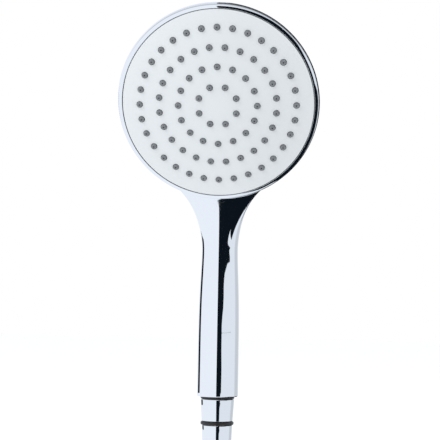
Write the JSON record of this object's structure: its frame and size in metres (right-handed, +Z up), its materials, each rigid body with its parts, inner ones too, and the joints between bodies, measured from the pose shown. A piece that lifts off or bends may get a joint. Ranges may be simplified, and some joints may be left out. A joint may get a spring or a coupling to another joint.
{
  "type": "handheld shower head",
  "caption": "Handheld shower head with a round single-spray face, a straight flared handle and a swivel hose connector below it.",
  "frame": {"origin": "centre of the handle's lower end, where a holder takes the handset", "axes": "+Z up along the handle's axis; -Y is the side that the spray leaves from; +X is to the right seen from the spray side"},
  "size_m": [0.14, 0.0874, 0.3121],
  "materials": {
    "body_chrome": "bright chrome plating on moulded ABS",
    "connector_chrome": "bright chrome plating on turned brass",
    "face_white": "satin pale grey moulding",
    "nozzle_silicone": "soft grey silicone",
    "inner_plastic": "natural acetal, as moulded",
    "black_plastic": "black glass-filled nylon, satin",
    "seal_rubber": "black EPDM rubber",
    "stainless": "bright stainless steel",
    "brass": "turned brass"
  },
  "bodies": {
    "handset": {"body_shell": "body_chrome", "face_bezel": "body_chrome", "face_plate": "face_white", "nozzle_mat": "nozzle_silicone", "chamber_seal": "seal_rubber", "spray_base": "inner_plastic", "plate_screw_1": "stainless", "plate_screw_2": "stainless", "plate_screw_3": "stainless", "plate_screw_4": "stainless", "plate_screw_5": "stainless", "plate_screw_6": "stainless", "elbow_seal": "seal_rubber", "head_elbow": "inner_plastic", "tube_seal_upper": "seal_rubber", "waterway_tube": "inner_plastic", "tube_seal_lower": "seal_rubber", "inlet_nipple": "black_plastic", "nipple_seal": "seal_rubber", "nipple_clip": "stainless", "flow_limiter_body": "inner_plastic", "flow_limiter_ring": "seal_rubber", "check_valve_housing": "inner_plastic", "check_valve_seal": "seal_rubber", "check_valve_spring": "stainless", "check_valve_guide": "inner_plastic"},
    "poppet": {"check_valve_poppet": "black_plastic"},
    "connector_core": {"filter_washer": "seal_rubber", "filter_screen": "stainless", "swivel_insert": "brass", "swivel_seal_upper": "seal_rubber", "swivel_seal_lower": "seal_rubber", "swivel_clip": "stainless", "bearing_ring": "black_plastic"},
    "nut": {"swivel_nut": "connector_chrome"},
    "stem": {"swivel_stem": "connector_chrome"}
  },
  "joints": [
    {"name": "connector_unscrew", "type": "slide", "parent": "handset", "child": "connector_core", "axis": [0, 0, -1], "range_m": [0, 0.0109]},
    {"name": "nut_turn", "type": "hinge", "parent": "connector_core", "child": "nut", "pos_m": [0, 0, -0.0095], "axis": [0, 0, 1], "range_deg": [-2163, 0]},
    {"name": "hose_swivel", "type": "hinge", "parent": "connector_core", "child": "stem", "pos_m": [0, 0, -0.0265], "axis": [0, 0, 1], "continuous": true},
    {"name": "check_valve_lift", "type": "slide", "parent": "handset", "child": "poppet", "axis": [0, 0, 1], "range_m": [0, 0.0025], "stiffness_N_per_m": 60, "springref_m": -0.003, "deforming": ["check_valve_spring"]}
  ],
  "couplings": [
    {"joint": "nut_turn", "follows": "connector_unscrew", "rad_per_m": -3463.1}
  ]
}
